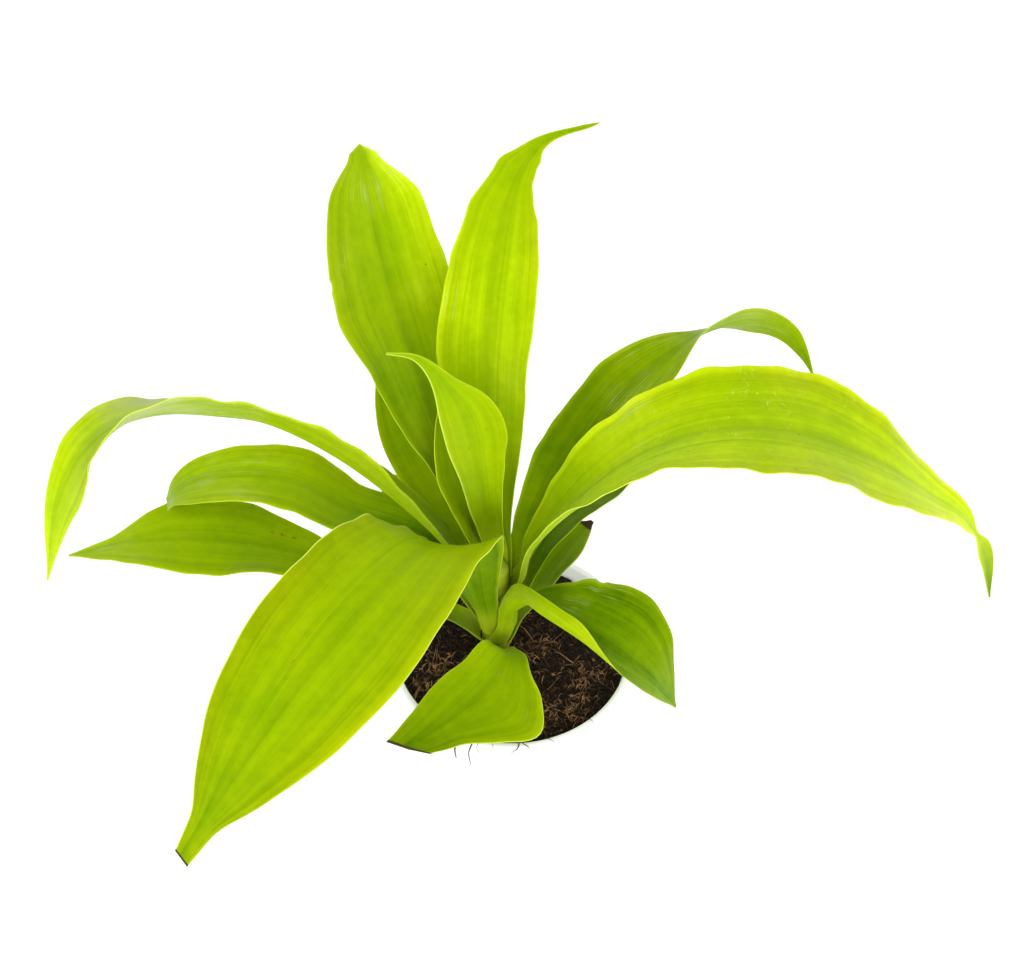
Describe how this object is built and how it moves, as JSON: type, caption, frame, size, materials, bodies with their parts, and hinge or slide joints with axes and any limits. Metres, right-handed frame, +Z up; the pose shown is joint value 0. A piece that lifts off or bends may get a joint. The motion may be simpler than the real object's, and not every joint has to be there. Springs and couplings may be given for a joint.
{
  "type": "potted dracaena",
  "caption": "Young dracaena with broad lime-green leaves on a short stem, standing in soil in a round white plastic nursery pot.",
  "frame": {"origin": "middle of the pot's base, on the surface that it stands on", "axes": "+X to the right as the plant is looked at from the front and along its widest spread, +Y away from the viewer, +Z up"},
  "size_m": [0.455, 0.262, 0.3419],
  "materials": {
    "pot": "satin",
    "soil": "matte",
    "stem": "matte",
    "leaf": "satin"
  },
  "bodies": {
    "root": {"pot": "pot", "soil": "soil", "stem": "stem", "leaf_tall_left": "leaf", "leaf_tall_right": "leaf", "leaf_young_front": "leaf", "leaf_young_back": "leaf", "leaf_long_left": "leaf", "leaf_mid_left": "leaf", "leaf_low_left": "leaf", "leaf_big_front": "leaf", "leaf_small_front": "leaf", "leaf_low_right": "leaf", "leaf_big_right": "leaf", "leaf_far_right": "leaf", "leaf_under_right": "leaf", "leaf_short_right": "leaf", "leaf_behind_left": "leaf", "leaf_back_left": "leaf"}
  },
  "joints": []
}
